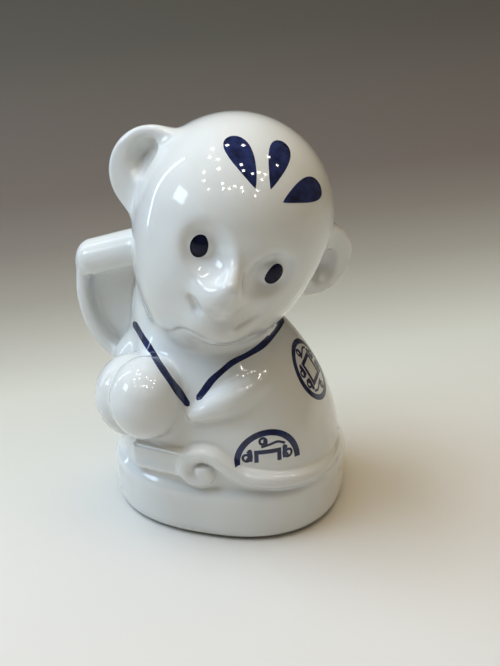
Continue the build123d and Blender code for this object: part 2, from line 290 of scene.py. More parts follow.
def head_field():
    """Egg-shaped head with muzzle, chin, nose, eyes and the creases of mouth and lid."""
    skull = ball(head_grid, (0, 0, 0), HEAD_RADIUS)
    jaw = egg(head_grid, (0, 0, 0), (HEAD_RADIUS, HEAD_RADIUS, JAW))
    head = np.where(head_grid[2] > 0, skull, jaw)
    head = join(head, egg(head_grid, MUZZLE, MUZZLE_RADII), MUZZLE_BLEND)
    head = join(head, egg(head_grid, CHIN, CHIN_RADII), CHIN_BLEND)
    nose = rod(head_grid, NOSE_BRIDGE, NOSE_TIP, NOSE_BRIDGE_RADIUS, NOSE_TIP_RADIUS)
    head = join(head, nose, NOSE_BLEND)
    for x, drop in EYES:
        middle = (x - np.sign(x) * SOCKET_IN, drop - SOCKET_UP)
        socket = on_face(*middle) + off_face(*middle) * (SOCKET_RADIUS - SOCKET_DEPTH)
        head = cut(head, ball(head_grid, socket, SOCKET_RADIUS), SOCKET_BLEND)
    for x, drop in EYES:
        head = join(head, ball(head_grid, eyeball_centre(x, drop), EYEBALL_RADIUS), EYEBALL_BLEND)
    for start, end, width, depth in CREASES:
        head = press(head, head_grid, start, end, width, depth)
    return head


# Ears: flaps on the sides of the head, hollowed towards the outer edge
EAR_RADII, EAR_SPLAY, EAR_BACK_SET, EAR_FRONT, EAR_BLEND = (10.8, 6.2, 11.2), radians(22), 1.5, -1.3, 1.6
HOLLOW_OUT, HOLLOW_FRONT, HOLLOW_RADII, HOLLOW_BLEND = 1.8, -1.6, (4.5, 4.2, 5.4), 2.0
# Side of the head, sink into it, rise above its middle, rise of the hollow in the flap, and scale
EARS = {"right_ear": (-1, 2.2, 3.4, 2.6, 1.0), "left_ear": (1, -0.4, -7.4, -1.2, 0.87)}


def ear_field(side, sink, rise, hollow_rise, scale):
    """One ear, on the side -1 or 1 of the head."""
    x = head_grid[0] - side * (HEAD_RADIUS - sink)
    y = head_grid[1] - EAR_BACK_SET
    z = head_grid[2] - rise
    turn = side * EAR_SPLAY
    place = [x * cos(turn) + y * sin(turn), y * cos(turn) - x * sin(turn), z]
    place = [axis / scale for axis in place]
    flap = meet(egg(place, (0, 0, 0), EAR_RADII), EAR_FRONT - place[1], EAR_BLEND)
    hollow = egg(place, (side * HOLLOW_OUT, HOLLOW_FRONT, hollow_rise), HOLLOW_RADII)
    return cut(flap, hollow, HOLLOW_BLEND) * scale


# Raised arm: a thick forearm on a rounded slab that has a recess inside its rim
HAND, ELBOW, HAND_RADIUS, ELBOW_RADIUS = (-14.0, 2.0, 67.6), (-35.5, 2.0, 60.2), 4.8, 4.6
RIM = [(-38.5, 58.0), (-39.0, 50.0), (-37.8, 43.4), (-34.7, 37.2), (-30.0, 33.0), (-22.0, 29.8)]
RIM_STEPS, RIM_HALF_WIDTH = 24, 1.75
SLAB_MIDDLE, SLAB_HALF, SLAB_EDGE = 2.7, 3.0, 2.3
RECESS_FLOOR, RECESS_BLEND, FOREARM_BLEND = 3.8, 1.4, 3.0


def polygon_field(x, z, corners):
    """Distance to the outline of a polygon in the XZ plane, negative inside."""
    nearest, inside = np.inf, False
    for (x0, z0), (x1, z1) in zip(corners, corners[1:] + corners[:1]):
        run_x, run_z = x1 - x0, z1 - z0
        share = np.clip(((x - x0) * run_x + (z - z0) * run_z) / (run_x**2 + run_z**2), 0, 1)
        gap = (x - x0 - share * run_x) ** 2 + (z - z0 - share * run_z) ** 2
        nearest = np.minimum(nearest, gap)
        if run_z:
            crossed = ((z0 > z) != (z1 > z)) & (x < x0 + run_x * (z - z0) / run_z)
            inside = inside ^ crossed
    return np.sqrt(nearest) * np.where(inside, -1, 1)


def arm_field():
    """Right arm, raised to the back of the head."""
    forearm = rod((X, Y, Z), HAND, ELBOW, HAND_RADIUS, ELBOW_RADIUS)
    outline = smooth_path(RIM, RIM_STEPS).tolist() + [(HAND[0], RIM[-1][1]), (HAND[0], HAND[2])]
    inside = polygon_field(X, Z, outline)
    slab = plate(inside - RIM_HALF_WIDTH, np.abs(Y - SLAB_MIDDLE) - SLAB_HALF, SLAB_EDGE)
    recess = np.maximum(inside + RIM_HALF_WIDTH, Y - RECESS_FLOOR)
    return join(forearm, cut(slab, recess, RECESS_BLEND), FOREARM_BLEND)


# Peach: a round lobe and a second one behind it, each with its centre and radii, and a cleft between them
LOBES = [((-15.3, -21.3, 35.5), (9.2, 9.2, 10.4)), ((-19.9, -16.9, 33.2), (9.6, 9.6, 10.6))]
LOBE_BLEND, CLEFT_WIDTH, CLEFT_DEPTH = 0.6, 1.0, 0.5


def peach_field():
    """Peach held against the robe."""
    near, far = [egg((X, Y, Z), centre, radii) for centre, radii in LOBES]
    return join(near, far, LOBE_BLEND) + CLEFT_DEPTH * np.exp(-(((near - far) / CLEFT_WIDTH) ** 2))


# Leaf: ridges side by side along a blunt blade, each with its rise, its set-back and its radius
LEAF_START, LEAF_END = np.array((-18.4, -21.2, 18.8)), np.array((-6.0, -25.0, 20.4))
LEAF_RIDGES = [(2.5, 0.3, 1.15), (0.9, 0.3, 0.95), (-0.7, 0.2, 0.95), (-2.2, -0.2, 1.1)]
RIDGE_BLEND = 0.7


def leaf_field():
    """Leaf under the peach."""
    leaf = None
    for rise, back, radius in LEAF_RIDGES:
        shift = np.array((0, back, rise))
        ridge = rod((X, Y, Z), LEAF_START + shift, LEAF_END + shift, radius, radius)
        leaf = ridge if leaf is None else join(leaf, ridge, RIDGE_BLEND)
    return leaf


# Tail: round the left side along the base, then up into a curl at the front, with a radius at each place
TAIL = [
    ((0.0, 18.8, 14.8), 1.7),
    ((8.0, 20.9, 14.8), 1.7),
    ((16.0, 19.2, 14.9), 1.7),
    ((22.8, 13.0, 15.0), 1.7),
    ((26.6, 4.0, 15.0), 1.7),
    ((27.2, -4.0, 15.0), 1.7),
    ((25.2, -12.4, 15.6), 1.8),
    ((21.4, -17.8, 16.2), 1.9),
    ((15.3, -22.1, 17.2), 2.0),
    ((8.5, -24.2, 19.0), 2.0),
    ((4.6, -24.8, 21.8), 2.0),
    ((1.2, -24.9, 23.9), 2.0),
    ((-1.9, -25.0, 23.6), 2.0),
    ((-4.3, -25.0, 21.4), 1.9),
    ((-4.6, -25.1, 18.8), 1.8),
    ((-3.0, -25.2, 16.8), 1.6),
    ((-0.4, -25.2, 16.5), 1.4),
    ((1.4, -25.2, 17.8), 1.3),
    ((1.0, -25.4, 19.6), 1.3),
    ((-0.7, -25.7, 19.5), 1.5),
]
TAIL_STEPS, TAIL_BLEND = 90, 0.3

# Left arm: a sleeve across the belly that tapers to the hand, with a radius at each place
SLEEVE = [
    ((-3.0, -22.5, 33.2), 1.7),
    ((0.6, -21.7, 35.0), 2.7),
    ((5.1, -19.6, 37.0), 3.5),
    ((9.2, -15.8, 38.5), 3.4),
    ((12.6, -11.0, 39.2), 2.8),
]
SLEEVE_STEPS, SLEEVE_BLEND = 24, 0.5

# Each white piece's own form
fields = {
    "base": base_field(),
    "robe": robe_field(),
    "head": head_field(),
    "raised_arm": arm_field(),
    "right_ear": ear_field(*EARS["right_ear"]),
    "left_ear": ear_field(*EARS["left_ear"]),
    "peach": peach_field(),
    "left_arm": chain(SLEEVE, SLEEVE_STEPS, SLEEVE_BLEND),
    "tail": chain(TAIL, TAIL_STEPS, TAIL_BLEND),
    "peach_leaf": leaf_field(),
}

# Glazed form: the base joined with each piece in turn, and how far glaze runs into the corner at the join
GLAZE_BLENDS = {
    "robe": 3.0,
    "head": 5.5,
    "raised_arm": 3.0,
    "right_ear": 5.0,
    "left_ear": 5.0,
    "peach": 2.4,
    "left_arm": 1.6,
    "tail": 1.6,
    "peach_leaf": 1.0,
}
SOFTENING_PASSES = 2
glazed = fields["base"]
for name, blend in GLAZE_BLENDS.items():
    glazed = join(glazed, fields[name], blend)
glazed = softened(glazed, SOFTENING_PASSES)
glazed_slopes = np.gradient(glazed, VOXEL)


def sample(values, points):
    """Values of a field at points, by straight-line interpolation."""
    place = points / VOXEL - corner
    cell = np.clip(np.floor(place).astype(int), 0, grid_shape - 2)
    part = place - cell
    total = np.zeros(len(points))
    for step in np.ndindex(2, 2, 2):
        weight = np.prod(np.where(step, part, 1 - part), axis=1)
        total += weight * values[tuple((cell + step).T)]
    return total


def outward(points):
    """Unit directions out of the glazed form at points."""
    normals = np.stack([sample(slope, points) for slope in glazed_slopes], axis=1)
    return normals / np.linalg.norm(normals, axis=1, keepdims=True)


# Glazed surface as one mesh of quads, each point drawn onto the form and each quad facing outwards
DRAWING_PASSES = 2
level_set = openvdb.FloatGrid(float(BAND))
level_set.transform = openvdb.createLinearTransform(VOXEL)
level_set.copyFromArray(np.clip(glazed, -BAND, BAND), ijk=tuple(int(step) for step in corner))
points, quads = level_set.convertToQuads(isovalue=0.0)
points = points.astype(float)
quads = quads.astype(int)
for _ in range(DRAWING_PASSES):
    points -= outward(points) * sample(glazed, points)[:, None]
normals = outward(points)
first_side = points[quads[:, 1]] - points[quads[:, 0]]
diagonal = points[quads[:, 2]] - points[quads[:, 0]]
if np.mean(np.sum(np.cross(first_side, diagonal) * normals[quads[:, 0]], axis=1)) < 0:
    quads = quads[:, ::-1]

# Each quad belongs to the piece whose own form lies nearest
names = list(fields)
middles = points[quads].mean(axis=1)
nearest_piece = np.argmin([sample(fields[name], middles) for name in names], axis=0)
BORDER_PASSES, OWN_VOTE = 12, 0.5


def quad_edges(faces):
    """The sides of quads as ordered pairs of points, one row for each side."""
    return np.stack([faces, np.roll(faces, -1, axis=1)], axis=2).reshape(-1, 2)


def smooth_owners(owner):
    """Gives a quad to the piece that holds most of its neighbours, to even out the borders."""
    edges = np.sort(quad_edges(quads), axis=1)
    order = np.lexsort((edges[:, 1], edges[:, 0]))
    same = np.all(edges[order][1:] == edges[order][:-1], axis=1)
    one, other = order[:-1][same] // 4, order[1:][same] // 4
    for _ in range(BORDER_PASSES):
        votes = np.zeros((len(quads), len(names)))
        np.add.at(votes, (one, owner[other]), 1)
        np.add.at(votes, (other, owner[one]), 1)
        votes[np.arange(len(quads)), owner] += OWN_VOTE
        owner = np.argmax(votes, axis=1)
    return owner


owner = smooth_owners(nearest_piece)


def add_object(name, data):
    """A new object of the scene."""
    added = bpy.data.objects.new(name, data)
    bpy.context.scene.collection.objects.link(added)
    return added


def shade_smooth(mesh, normals):
    """Smooth faces, with a normal given for each point."""
    mesh.polygons.foreach_set("use_smooth", np.ones(len(mesh.polygons), bool))
    mesh.normals_split_custom_set_from_vertices(normals.tolist())


def new_piece(name, points, faces, normals):
    """A mesh object from millimetres, with its own normals."""
    mesh = bpy.data.meshes.new(name)
    mesh.from_pydata((points * MM).tolist(), [], faces.tolist())
    shade_smooth(mesh, normals)
    return add_object(name, mesh)


def glazed_shell(name, node):
    """The part of the glazed surface that a node holds, as a closed skin."""
    faces = quads[owner == names.index(node)]
    used, faces = np.unique(faces, return_inverse=True)
    faces = faces.reshape(-1, 4)
    outer = points[used]
    inner = outer - normals[used] * SKIN
    edges = quad_edges(faces)
    keys = set(map(tuple, edges.tolist()))
    rim = np.array([edge for edge in edges.tolist() if (edge[1], edge[0]) not in keys])
    count = len(used)
    wall = np.stack([rim[:, 1], rim[:, 0], rim[:, 0] + count, rim[:, 1] + count], axis=1)
    all_faces = np.concatenate([faces, faces[:, ::-1] + count, wall])
    all_normals = np.concatenate([normals[used], -normals[used]])
    return new_piece(name, np.concatenate([outer, inner]), all_faces, all_normals)


# Nodes of materials and of the tree that lays the marks
def wire(tree, node, inputs):
    """Links a node's inputs to sockets, or sets them to values."""
    for key, value in inputs.items():
        if isinstance(value, bpy.types.NodeSocket):
            tree.links.new(value, node.inputs[key])
        else:
            node.inputs[key].default_value = value


def add_node(tree, kind, inputs, **settings):
    """A node with its settings, and with its inputs linked or set."""
    node = tree.nodes.new(kind)
    for name, value in settings.items():
        setattr(node, name, value)
    wire(tree, node, inputs)
    return node


def new_material(name):
    """A node material with its tree, its shader and its Object coordinates."""
    material = bpy.data.materials.new(name)
    material.use_nodes = True
    tree = material.node_tree
    coordinates = tree.nodes.new("ShaderNodeTexCoord")
    return material, tree, tree.nodes["Principled BSDF"], coordinates.outputs["Object"]


def colour_ramp(tree, source, stops):
    """A ramp from a value to colours."""
    ramp = add_node(tree, "ShaderNodeValToRGB", {"Fac": source})
    elements = ramp.color_ramp.elements
    # A new stop starts in the middle, and then every stop gets its own place
    while len(elements) < len(stops):
        elements.new(0.5)
    for element, (place, colour) in zip(elements, stops):
        element.position = place
        element.color = (*colour, 1)
    return ramp.outputs["Color"]


def noise(tree, source, scale, detail):
    """A noise value on Object coordinates."""
    texture = add_node(tree, "ShaderNodeTexNoise", {"Vector": source, "Scale": scale, "Detail": detail})
    return texture.outputs["Fac"]


GLAZE_ROUGHNESS = 0.03
CREAMY_CLAY, WHITE_CLAY = (0.70, 0.70, 0.66), (0.76, 0.77, 0.75)
THIN_BLUE, POOLED_BLUE = (0.020, 0.030, 0.105), (0.008, 0.010, 0.032)
THIN_BLACK, POOLED_BLACK = (0.008, 0.010, 0.030), (0.003, 0.004, 0.010)


def porcelain():
    """White fired clay under clear glaze, faintly mottled."""
    material, tree, shader, place = new_material("white_porcelain")
    mottle = noise(tree, place, scale=45.0, detail=3.0)
    colour = colour_ramp(tree, mottle, [(0.3, CREAMY_CLAY), (0.7, WHITE_CLAY)])
    roughness = add_node(tree, "ShaderNodeMapRange", {"Value": mottle, "To Min": 0.10, "To Max": 0.18})
    ripple = noise(tree, place, scale=160.0, detail=2.0)
    bump = add_node(tree, "ShaderNodeBump", {"Height": ripple, "Strength": 0.12, "Distance": 0.0002})
    finish = {
        "Base Color": colour,
        "Roughness": roughness.outputs["Result"],
        "Normal": bump.outputs["Normal"],
        "Specular IOR Level": 0.25,
        "Coat Weight": 1.0,
        "Coat Roughness": GLAZE_ROUGHNESS,
    }
    wire(tree, shader, finish)
    return material


def cobalt(name, thin, pooled, gloss):
    """Blue brushed under the glaze, darker where the colour pooled."""
    material, tree, shader, place = new_material(name)
    pool = noise(tree, place, scale=420.0, detail=4.0)
    finish = {
        "Base Color": colour_ramp(tree, pool, [(0.32, pooled), (0.62, thin)]),
        "Roughness": 0.15,
        "Specular IOR Level": 0.0,
        "Coat Weight": gloss,
        "Coat Roughness": GLAZE_ROUGHNESS,
    }
    wire(tree, shader, finish)
    return material


white_glaze = porcelain()
blue_paint = cobalt("cobalt_blue", THIN_BLUE, POOLED_BLUE, gloss=1.0)
pupil_paint = cobalt("cobalt_black", THIN_BLACK, POOLED_BLACK, gloss=0.3)

for node in names:
    shell = glazed_shell("glazed_" + node, node)
    shell.data.materials.append(white_glaze)
    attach(shell, "root")
    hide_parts(node)


# Painted marks: flat strokes laid onto the glazed form by one tree of nodes
MARK_STAND_OUT, MARK_THICKNESS, STROKE_LIFT = 0.03, 0.25, 30.0
# Reach of the rays and the weld in metres, and how squarely a ray has to meet the glaze
RAY_LENGTH, WELD, FACING_LIMIT = 0.2, 1e-6, -0.02


def mark_tree():
    """Nodes that lay flat strokes onto the glazed form and give them a thickness."""
    tree = bpy.data.node_groups.new("mark_on_glaze", "GeometryNodeTree")
    sockets = {
        "Strokes": "NodeSocketGeometry",
        "Glaze": "NodeSocketObject",
        "Direction": "NodeSocketVector",
        "Stand Out": "NodeSocketFloat",
        "Thickness": "NodeSocketFloat",
        "Paint": "NodeSocketMaterial",
    }
    for name, kind in sockets.items():
        tree.interface.new_socket(name, in_out="INPUT", socket_type=kind)
    tree.interface.new_socket("Mark", in_out="OUTPUT", socket_type="NodeSocketGeometry")

    def step(kind, inputs, **settings):
        """Outputs of a node added to this tree."""
        return add_node(tree, kind, inputs, **settings).outputs

    given = step("NodeGroupInput", {})
    direction = given["Direction"]
    target = step("GeometryNodeObjectInfo", {"Object": given["Glaze"]})["Geometry"]
    rays = {"Target Geometry": target, "Ray Direction": direction, "Ray Length": RAY_LENGTH}
    hit = step("GeometryNodeRaycast", rays)

    # Strokes go where their rays meet the front of the glaze, and what misses it is deleted
    normal = hit["Hit Normal"]
    lift = step("ShaderNodeVectorMath", {0: normal, "Scale": given["Stand Out"]}, operation="SCALE")
    laid = step("ShaderNodeVectorMath", {0: hit["Hit Position"], 1: lift[0]}, operation="ADD")
    facing = step("ShaderNodeVectorMath", {0: normal, 1: direction}, operation="DOT_PRODUCT")["Value"]
    in_front = step("FunctionNodeCompare", {"A": facing, "B": FACING_LIMIT}, operation="LESS_THAN")
    missed = step("FunctionNodeBooleanMath", {0: hit["Is Hit"], 1: in_front["Result"]}, operation="NAND")
    kept = {"Geometry": given["Strokes"], "Selection": missed[0]}
    trimmed = step("GeometryNodeDeleteGeometry", kept, domain="POINT")
    draped = step("GeometryNodeSetPosition", {"Geometry": trimmed["Geometry"], "Position": laid[0]})

    # A copy pushed into the glaze and turned round closes the strokes
    inward = step("ShaderNodeMath", {0: given["Thickness"], 1: -1.0}, operation="MULTIPLY")
    pushed = {"Mesh": draped["Geometry"], "Offset Scale": inward[0], "Individual": False}
    body = step("GeometryNodeExtrudeMesh", pushed, mode="FACES")
    flipped = step("GeometryNodeFlipFaces", {"Mesh": body["Mesh"]})
    both = add_node(tree, "GeometryNodeJoinGeometry", {"Geometry": flipped["Mesh"]})
    wire(tree, both, {"Geometry": draped["Geometry"]})
    welded = step("GeometryNodeMergeByDistance", {"Geometry": both.outputs["Geometry"], "Distance": WELD})
    realized = step("GeometryNodeRealizeInstances", {"Geometry": welded["Geometry"]})
    paint = {"Geometry": realized["Geometry"], "Material": given["Paint"]}
    painted = step("GeometryNodeSetMaterial", paint)
    step("NodeGroupOutput", {"Mark": painted["Geometry"]})
    return tree


# Forms that the marks are laid on: all of the glaze, and the pieces round the collar
COLLAR_PIECES = ["robe", "peach", "left_arm", "raised_arm"]
mark_nodes = mark_tree()
glaze_form = new_piece("glaze_form", points, quads, normals)
collar_quads = quads[np.isin(owner, [names.index(name) for name in COLLAR_PIECES])]
robe_form = new_piece("robe_form", points, collar_quads, normals)


def stroke(path, half_widths, closed=False, across=6):
    """A brushed stroke in its plane: a strip of quads along a path, as points and faces."""
    path = np.asarray(path, float)
    half_widths = np.broadcast_to(np.asarray(half_widths, float), len(path))
    if closed:
        run = np.roll(path, -1, axis=0) - np.roll(path, 1, axis=0)
    else:
        run = np.gradient(path, axis=0)
    run /= np.linalg.norm(run, axis=1, keepdims=True)
    side = np.stack([-run[:, 1], run[:, 0]], axis=1) * half_widths[:, None]
    shares = np.linspace(1, -1, across)
    flat = (path[:, None] + side[:, None] * shares[:, None]).reshape(-1, 2)
    faces = []
    steps = len(path) if closed else len(path) - 1
    for step in range(steps):
        this, next_one = step * across, (step + 1) % len(path) * across
        for lane in range(across - 1):
            faces.append((this + lane, this + lane + 1, next_one + lane + 1, next_one + lane))
    return flat, np.array(faces)


def turned(flat, angle, shift):
    """Points of a plane turned by an angle and then moved."""
    matrix = np.array(((cos(angle), -sin(angle)), (sin(angle), cos(angle))))
    return flat @ matrix.T + np.array(shift)


def draped_mesh(flat_mark, values):
    """Plain mesh of a flat mark after the nodes have laid it on the glaze."""
    modifier = flat_mark.modifiers.new("mark_on_glaze", "NODES")
    modifier.node_group = mark_nodes
    for item in mark_nodes.interface.items_tree:
        if item.name in values:
            modifier[item.identifier] = values[item.name]
    evaluated = flat_mark.evaluated_get(bpy.context.evaluated_depsgraph_get())
    return bpy.data.meshes.new_from_object(evaluated)


def shade_as_glaze(mesh):
    """Gives a mark the glaze's normals on its outer side, and the opposite ones on its inner side."""
    places = np.empty(len(mesh.vertices) * 3)
    mesh.vertices.foreach_get("co", places)
    places = places.reshape(-1, 3) / MM
    facing = outward(places)
    facing[sample(glazed, places) < -MARK_THICKNESS / 2] *= -1
    shade_smooth(mesh, facing)


def lay_mark(name, node, strokes, origin, x_dir, y_dir, form=glaze_form, paint=blue_paint):
    """Strokes drawn in a plane, laid on a form along the plane's normal, in place of a node."""
    x_dir, y_dir = np.array(x_dir, float), np.array(y_dir, float)
    toward = np.cross(x_dir, y_dir)
    flat_points, flat_faces, count = [], [], 0
    for flat, faces in strokes:
        flat_points.append(origin + flat[:, :1] * x_dir + flat[:, 1:] * y_dir + toward * STROKE_LIFT)
        flat_faces.append(faces + count)
        count += len(flat)
    flat_places = np.concatenate(flat_points) * MM
    flat_mesh = bpy.data.meshes.new(name + "_flat")
    flat_mesh.from_pydata(flat_places.tolist(), [], np.concatenate(flat_faces).tolist())
    flat_mark = add_object(name + "_flat", flat_mesh)
    values = {
        "Glaze": form,
        "Direction": tuple(-toward),
        "Stand Out": MARK_STAND_OUT * MM,
        "Thickness": MARK_THICKNESS * MM,
        "Paint": paint,
    }
    mark_mesh = draped_mesh(flat_mark, values)
    mark_mesh.name = name
    bpy.data.objects.remove(flat_mark)
    shade_as_glaze(mark_mesh)
    mark = add_object(name, mark_mesh)
    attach(mark, "root")
    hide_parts(node)


# Forehead petals: drops that swell from a point to a round end
# Turn in degrees, distance of the point from the middle, length and half width of each petal
PETALS = [(-30.0, 5.6, 14.0, 2.75), (6.0, 5.6, 13.3, 2.6), (46.0, 5.6, 12.6, 2.6)]
PETAL_MIDDLE, PETAL_RISE = (1.3, -12.6), radians(54)
PETAL_STEPS, PETAL_LANES, PETAL_LEAST = 48, 12, 0.03
# Powers that shape a petal's point and its round end, and the greatest swell that they give together
POINT_POWER, END_POWER, SWELL_PEAK = 0.8, 3, 0.61


def petal_strokes():
    """The three petals, flat, wider towards their outer ends."""
    shares = np.sin(np.linspace(0.0, 1.0, PETAL_STEPS) * pi / 2)
    swell = shares**POINT_POWER * np.sqrt(np.maximum(1 - shares**END_POWER, 0)) / SWELL_PEAK
    petals = []
    for turn, start, length, half_width in PETALS:
        line = np.stack([np.zeros_like(shares), start + length * shares], axis=1)
        line = turned(line, -radians(turn), PETAL_MIDDLE)
        petals.append(stroke(line, np.maximum(swell * half_width, PETAL_LEAST), across=PETAL_LANES))
    return petals


petal_out = head_axes @ np.array((0, -cos(PETAL_RISE), sin(PETAL_RISE)))
petal_x = head_axes @ np.array((1.0, 0, 0))
petal_y = np.cross(petal_out, petal_x)
lay_mark("brushed_petals", "forehead_petals", petal_strokes(), HEAD_CENTRE, petal_x, petal_y)

# Pupils: upright oval dots on the eyeballs, each a ring so wide that only a pinhole is left in it
PUPIL_HALF_WIDTH, PUPIL_HALF_HEIGHT = 2.1, 2.8
PUPIL_STEPS, PUPIL_LANES = 64, 8
DOT_RING, DOT_HALF_WIDTH = 0.5, 0.49


def pupil_dot():
    """One pupil, flat."""
    angles = np.linspace(0, 2 * pi, PUPIL_STEPS, endpoint=False)
    ring = np.stack([np.cos(angles), np.sin(angles)], axis=1) * DOT_RING
    flat, faces = stroke(ring, DOT_HALF_WIDTH, closed=True, across=PUPIL_LANES)
    return flat * (PUPIL_HALF_WIDTH, PUPIL_HALF_HEIGHT), faces


for node, (x, drop) in zip(["right_pupil", "left_pupil"], EYES):
    eye_out = head_axes @ off_face(x, drop)
    eye_x = np.cross(head_axes[:, 2], eye_out)
    eye_x /= np.linalg.norm(eye_x)
    eye_y = np.cross(eye_out, eye_x)
    eye_middle = head_point(eyeball_centre(x, drop))
    lay_mark("painted_" + node, node, [pupil_dot()], eye_middle, eye_x, eye_y, paint=pupil_paint)

# Collar: two brushed lines, a little uneven in width, laid on the robe along the line of view
VIEW_TURN, VIEW_RISE = radians(14), radians(28)
view_x = np.array((cos(VIEW_TURN), sin(VIEW_TURN), 0))
view_out = np.array((sin(VIEW_TURN) * cos(VIEW_RISE), -cos(VIEW_TURN) * cos(VIEW_RISE), sin(VIEW_RISE)))
view_y = np.cross(view_out, view_x)
COLLAR_HALF_WIDTH, COLLAR_PLANE, COLLAR_STEPS = 0.75, 40.0, 110
# Share of the width, turns in radians and start of each wave along the line, and how the ends draw in
COLLAR_WAVES = [(0.10, 9, 0), (0.06, 23, 1)]
END_TAPER, END_WIDTH = 25, 0.35
COLLARS = {
    "right_collar_line": [
        (-24.2, -3.0, 45.6),
        (-20.3, -7.9, 44.6),
        (-15.7, -14.3, 44.4),
        (-12.0, -17.4, 42.2),
        (-8.4, -19.7, 39.1),
        (-4.5, -21.6, 34.9),
    ],
    "left_collar_line": [
        (12.0, 6.6, 46.4),
        (11.9, -2.2, 47.2),
        (10.4, -9.2, 46.8),
        (7.7, -13.4, 46.0),
        (4.7, -16.1, 44.9),
        (2.7, -17.7, 43.3),
        (0.6, -19.1, 41.3),
        (-1.1, -20.3, 38.8),
        (-2.6, -21.1, 36.6),
    ],
}


def collar_stroke(places):
    """One collar line as it looks along the line of view, flat."""
    line = smooth_path(np.array(places) @ np.stack([view_x, view_y], axis=1), COLLAR_STEPS)
    shares = np.linspace(0, 1, COLLAR_STEPS)
    swell = 1
    for share, turns, start in COLLAR_WAVES:
        swell = swell + share * np.sin(turns * shares + start)
    ends = np.clip(np.minimum(shares, 1 - shares) * END_TAPER + END_WIDTH, 0, 1)
    return stroke(line, COLLAR_HALF_WIDTH * swell * ends)


for node, places in COLLARS.items():
    brushed = [collar_stroke(places)]
    lay_mark("brushed_" + node, node, brushed, view_out * COLLAR_PLANE, view_x, view_y, robe_form)

# Coins: a ring round a square frame, with plain scrolls between them
COIN_RADIUS, COIN_RING, COIN_HOLE, COIN_FRAME = 8.2, 1.45, 4.6, 1.05
RING_STEPS, FRAME_STEPS, COIN_LANES = 80, 16, 4
SCROLL_HALF_WIDTH, SCROLL_LANES, SCROLL_END, SCROLL_TAIL_STEPS = 0.3, 3, 0.4, 30
HALF_COIN_FOOT = 0.2


def arc(centre, radius, start, end, count, end_radius=None):
    """Points along an arc, or along a spiral where the radius changes."""
    angles = np.radians(np.linspace(start, end, count))
    reach = np.linspace(radius, radius if end_radius is None else end_radius, count)
    return np.stack([centre[0] + reach * np.cos(angles), centre[1] + reach * np.sin(angles)], axis=1)


def frame_side(start, end):
    """One straight side of the square frame."""
    return stroke(np.linspace(start, end, FRAME_STEPS), COIN_FRAME / 2, across=COIN_LANES)


def coin_scrolls():
    """Lines of the plain scrolls in a coin's upper half: three spirals, each with its tail."""
    # A spiral has its centre, first radius, first and last angle in degrees, points and last radius
    return [
        arc((-1.2, 5.4), 1.05, -60, 420, 50, SCROLL_END),
        smooth_path([(-1.6, 4.1), (0.4, 4.5), (2.6, 4.9), (4.4, 4.2)], SCROLL_TAIL_STEPS),
        arc((5.1, 1.75), 1.35, 100, 640, 60, SCROLL_END),
        smooth_path([(4.9, 3.1), (4.1, 3.6), (4.0, 2.4), (4.0, 0.6)], SCROLL_TAIL_STEPS),
        arc((-5.2, 1.6), 1.25, 80, -460, 60, SCROLL_END),
        smooth_path([(-5.0, 2.8), (-4.3, 3.4), (-4.0, 2.2), (-4.1, 0.5)], SCROLL_TAIL_STEPS),
    ]


def coin_strokes(half):
    """The strokes of a coin, whole or only its upper half."""
    ring_radius = COIN_RADIUS - COIN_RING / 2
    side = (COIN_HOLE + COIN_FRAME) / 2
    long_side = side + COIN_FRAME / 2
    scrolls = coin_scrolls()
    strokes = [frame_side((-long_side, side), (long_side, side))]
    if half:
        ring = arc((0, 0), ring_radius, 0, 180, RING_STEPS)
        foot = HALF_COIN_FOOT
    else:
        ring = arc((0, 0), ring_radius, 0, 360, 2 * RING_STEPS + 1)[:-1]
        foot = -side + COIN_FRAME / 2
        scrolls += [turned(line, pi, (0, 0)) for line in scrolls]
    strokes.append(stroke(ring, COIN_RING / 2, closed=not half, across=COIN_LANES))
    if not half:
        strokes.append(frame_side((-long_side, -side), (long_side, -side)))
    for x in (-side, side):
        strokes.append(frame_side((x, side - COIN_FRAME / 2), (x, foot)))
    strokes += [stroke(line, SCROLL_HALF_WIDTH, across=SCROLL_LANES) for line in scrolls]
    return strokes


# Whole coin on the left shoulder: place along Y, height above the base and lean of the robe there
COIN_Y, COIN_HEIGHT, COIN_LEAN = 0.9, 22.3, radians(31.5)
coin_x = robe_half_width(COIN_HEIGHT) + robe_shift(COIN_HEIGHT)
coin_out = np.array((cos(COIN_LEAN), 0, sin(COIN_LEAN)))
lay_mark(
    "painted_shoulder_coin",
    "shoulder_coin",
    coin_strokes(half=False),
    np.array((coin_x, COIN_Y, BASE_HEIGHT + COIN_HEIGHT)),
    (0, 1, 0),
    np.cross(coin_out, (0, 1, 0)),
)

# Half coin at the hem, above the tail
HEM_COIN_X, HEM_COIN_Y, HEM_COIN_HEIGHT, HEM_COIN_TURN = 14.8, -21.0, 7.7, radians(26)
lay_mark(
    "painted_hem_coin",
    "hem_coin",
    coin_strokes(half=True),
    np.array((HEM_COIN_X, HEM_COIN_Y, BASE_HEIGHT + HEM_COIN_HEIGHT)),
    (cos(HEM_COIN_TURN), sin(HEM_COIN_TURN), 0),
    (0, 0, 1),
)
bpy.data.objects.remove(glaze_form)
bpy.data.objects.remove(robe_form)

# Studio, in metres: a pale floor whose colour carries painted shade, falling off to grey well behind the
# figure
FLOOR_SIZE, FLOOR_ROUGHNESS = 6.0, 0.6
FALLOFF_DIRECTION, FALLOFF_START, FALLOFF_END = (-0.6, 1.0, 0.0), -0.03, 0.55
# Colours of the floor's painted shade, from near the figure to far behind it
FLOOR_PAINTED_SHADE = [
    (0.0, (0.68, 0.66, 0.62)),
    (0.086, (0.65, 0.64, 0.585)),
    (0.169, (0.578, 0.578, 0.512)),
    (0.233, (0.43, 0.415, 0.36)),
    (0.293, (0.304, 0.285, 0.240)),
    (0.379, (0.205, 0.180, 0.152)),
    (0.481, (0.151, 0.125, 0.108)),
    (0.948, (0.106, 0.100, 0.0865)),
]


